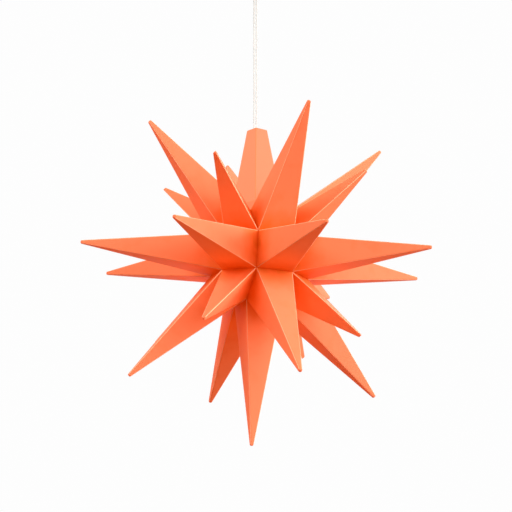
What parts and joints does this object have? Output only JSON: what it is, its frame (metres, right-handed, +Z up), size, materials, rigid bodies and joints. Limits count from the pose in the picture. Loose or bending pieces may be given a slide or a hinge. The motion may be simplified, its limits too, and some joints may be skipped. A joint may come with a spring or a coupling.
{
  "type": "moravian star",
  "caption": "Small hanging star lamp of hollow four-sided and three-sided points clipped into a round core, with a loose cap on a thin twin lead and a ceiling fitting.",
  "frame": {"origin": "centre of the ceiling base's flat face, which lies on the ceiling", "axes": "+Z up, against the ceiling; the picture looks along +Y with +X to its right"},
  "size_m": [0.1213, 0.1234, 0.1872],
  "materials": {
    "star_plastic": "translucent orange moulding, satin gloss",
    "holder_plastic": "white, satin",
    "lamp": "clear",
    "lead": "clear insulation over two pale strands",
    "ceiling_plastic": "white, satin",
    "nut": "zinc plated"
  },
  "bodies": {
    "ceiling_fitting": {"ceiling_base": "ceiling_plastic", "ceiling_cover": "ceiling_plastic", "cord_grip": "ceiling_plastic", "cord_grip_nut": "nut"},
    "lead": {"lead": "lead"},
    "star": {"middle_point_1": "star_plastic", "middle_point_2": "star_plastic", "middle_point_3": "star_plastic", "middle_point_4": "star_plastic", "middle_point_5": "star_plastic", "middle_point_6": "star_plastic", "middle_point_7": "star_plastic", "middle_point_8": "star_plastic", "upper_point_1": "star_plastic", "upper_point_2": "star_plastic", "upper_point_3": "star_plastic", "upper_point_4": "star_plastic", "lower_point_1": "star_plastic", "lower_point_2": "star_plastic", "lower_point_3": "star_plastic", "lower_point_4": "star_plastic", "upper_three_sided_point_1": "star_plastic", "upper_three_sided_point_2": "star_plastic", "upper_three_sided_point_3": "star_plastic", "upper_three_sided_point_4": "star_plastic", "lower_three_sided_point_1": "star_plastic", "lower_three_sided_point_2": "star_plastic", "lower_three_sided_point_3": "star_plastic", "lower_three_sided_point_4": "star_plastic", "bottom_point": "star_plastic", "top_collar": "star_plastic", "lamp_holder": "holder_plastic", "hanging_washer": "holder_plastic", "led_lamp": "lamp"},
    "cap": {"cap": "star_plastic"}
  },
  "joints": [
    {"name": "lead_swing", "type": "hinge", "parent": "ceiling_fitting", "child": "lead", "pos_m": [0, 0, -0.018], "axis": [1, 0, 0], "range_deg": [-60, 60]},
    {"name": "star_turn", "type": "hinge", "parent": "lead", "child": "star", "pos_m": [0, 0, -0.093], "axis": [0, 0, 1], "range_deg": [-180, 180]},
    {"name": "cap_lift", "type": "slide", "parent": "star", "child": "cap", "axis": [0, 0, 1], "range_m": [0, 0.045]}
  ]
}
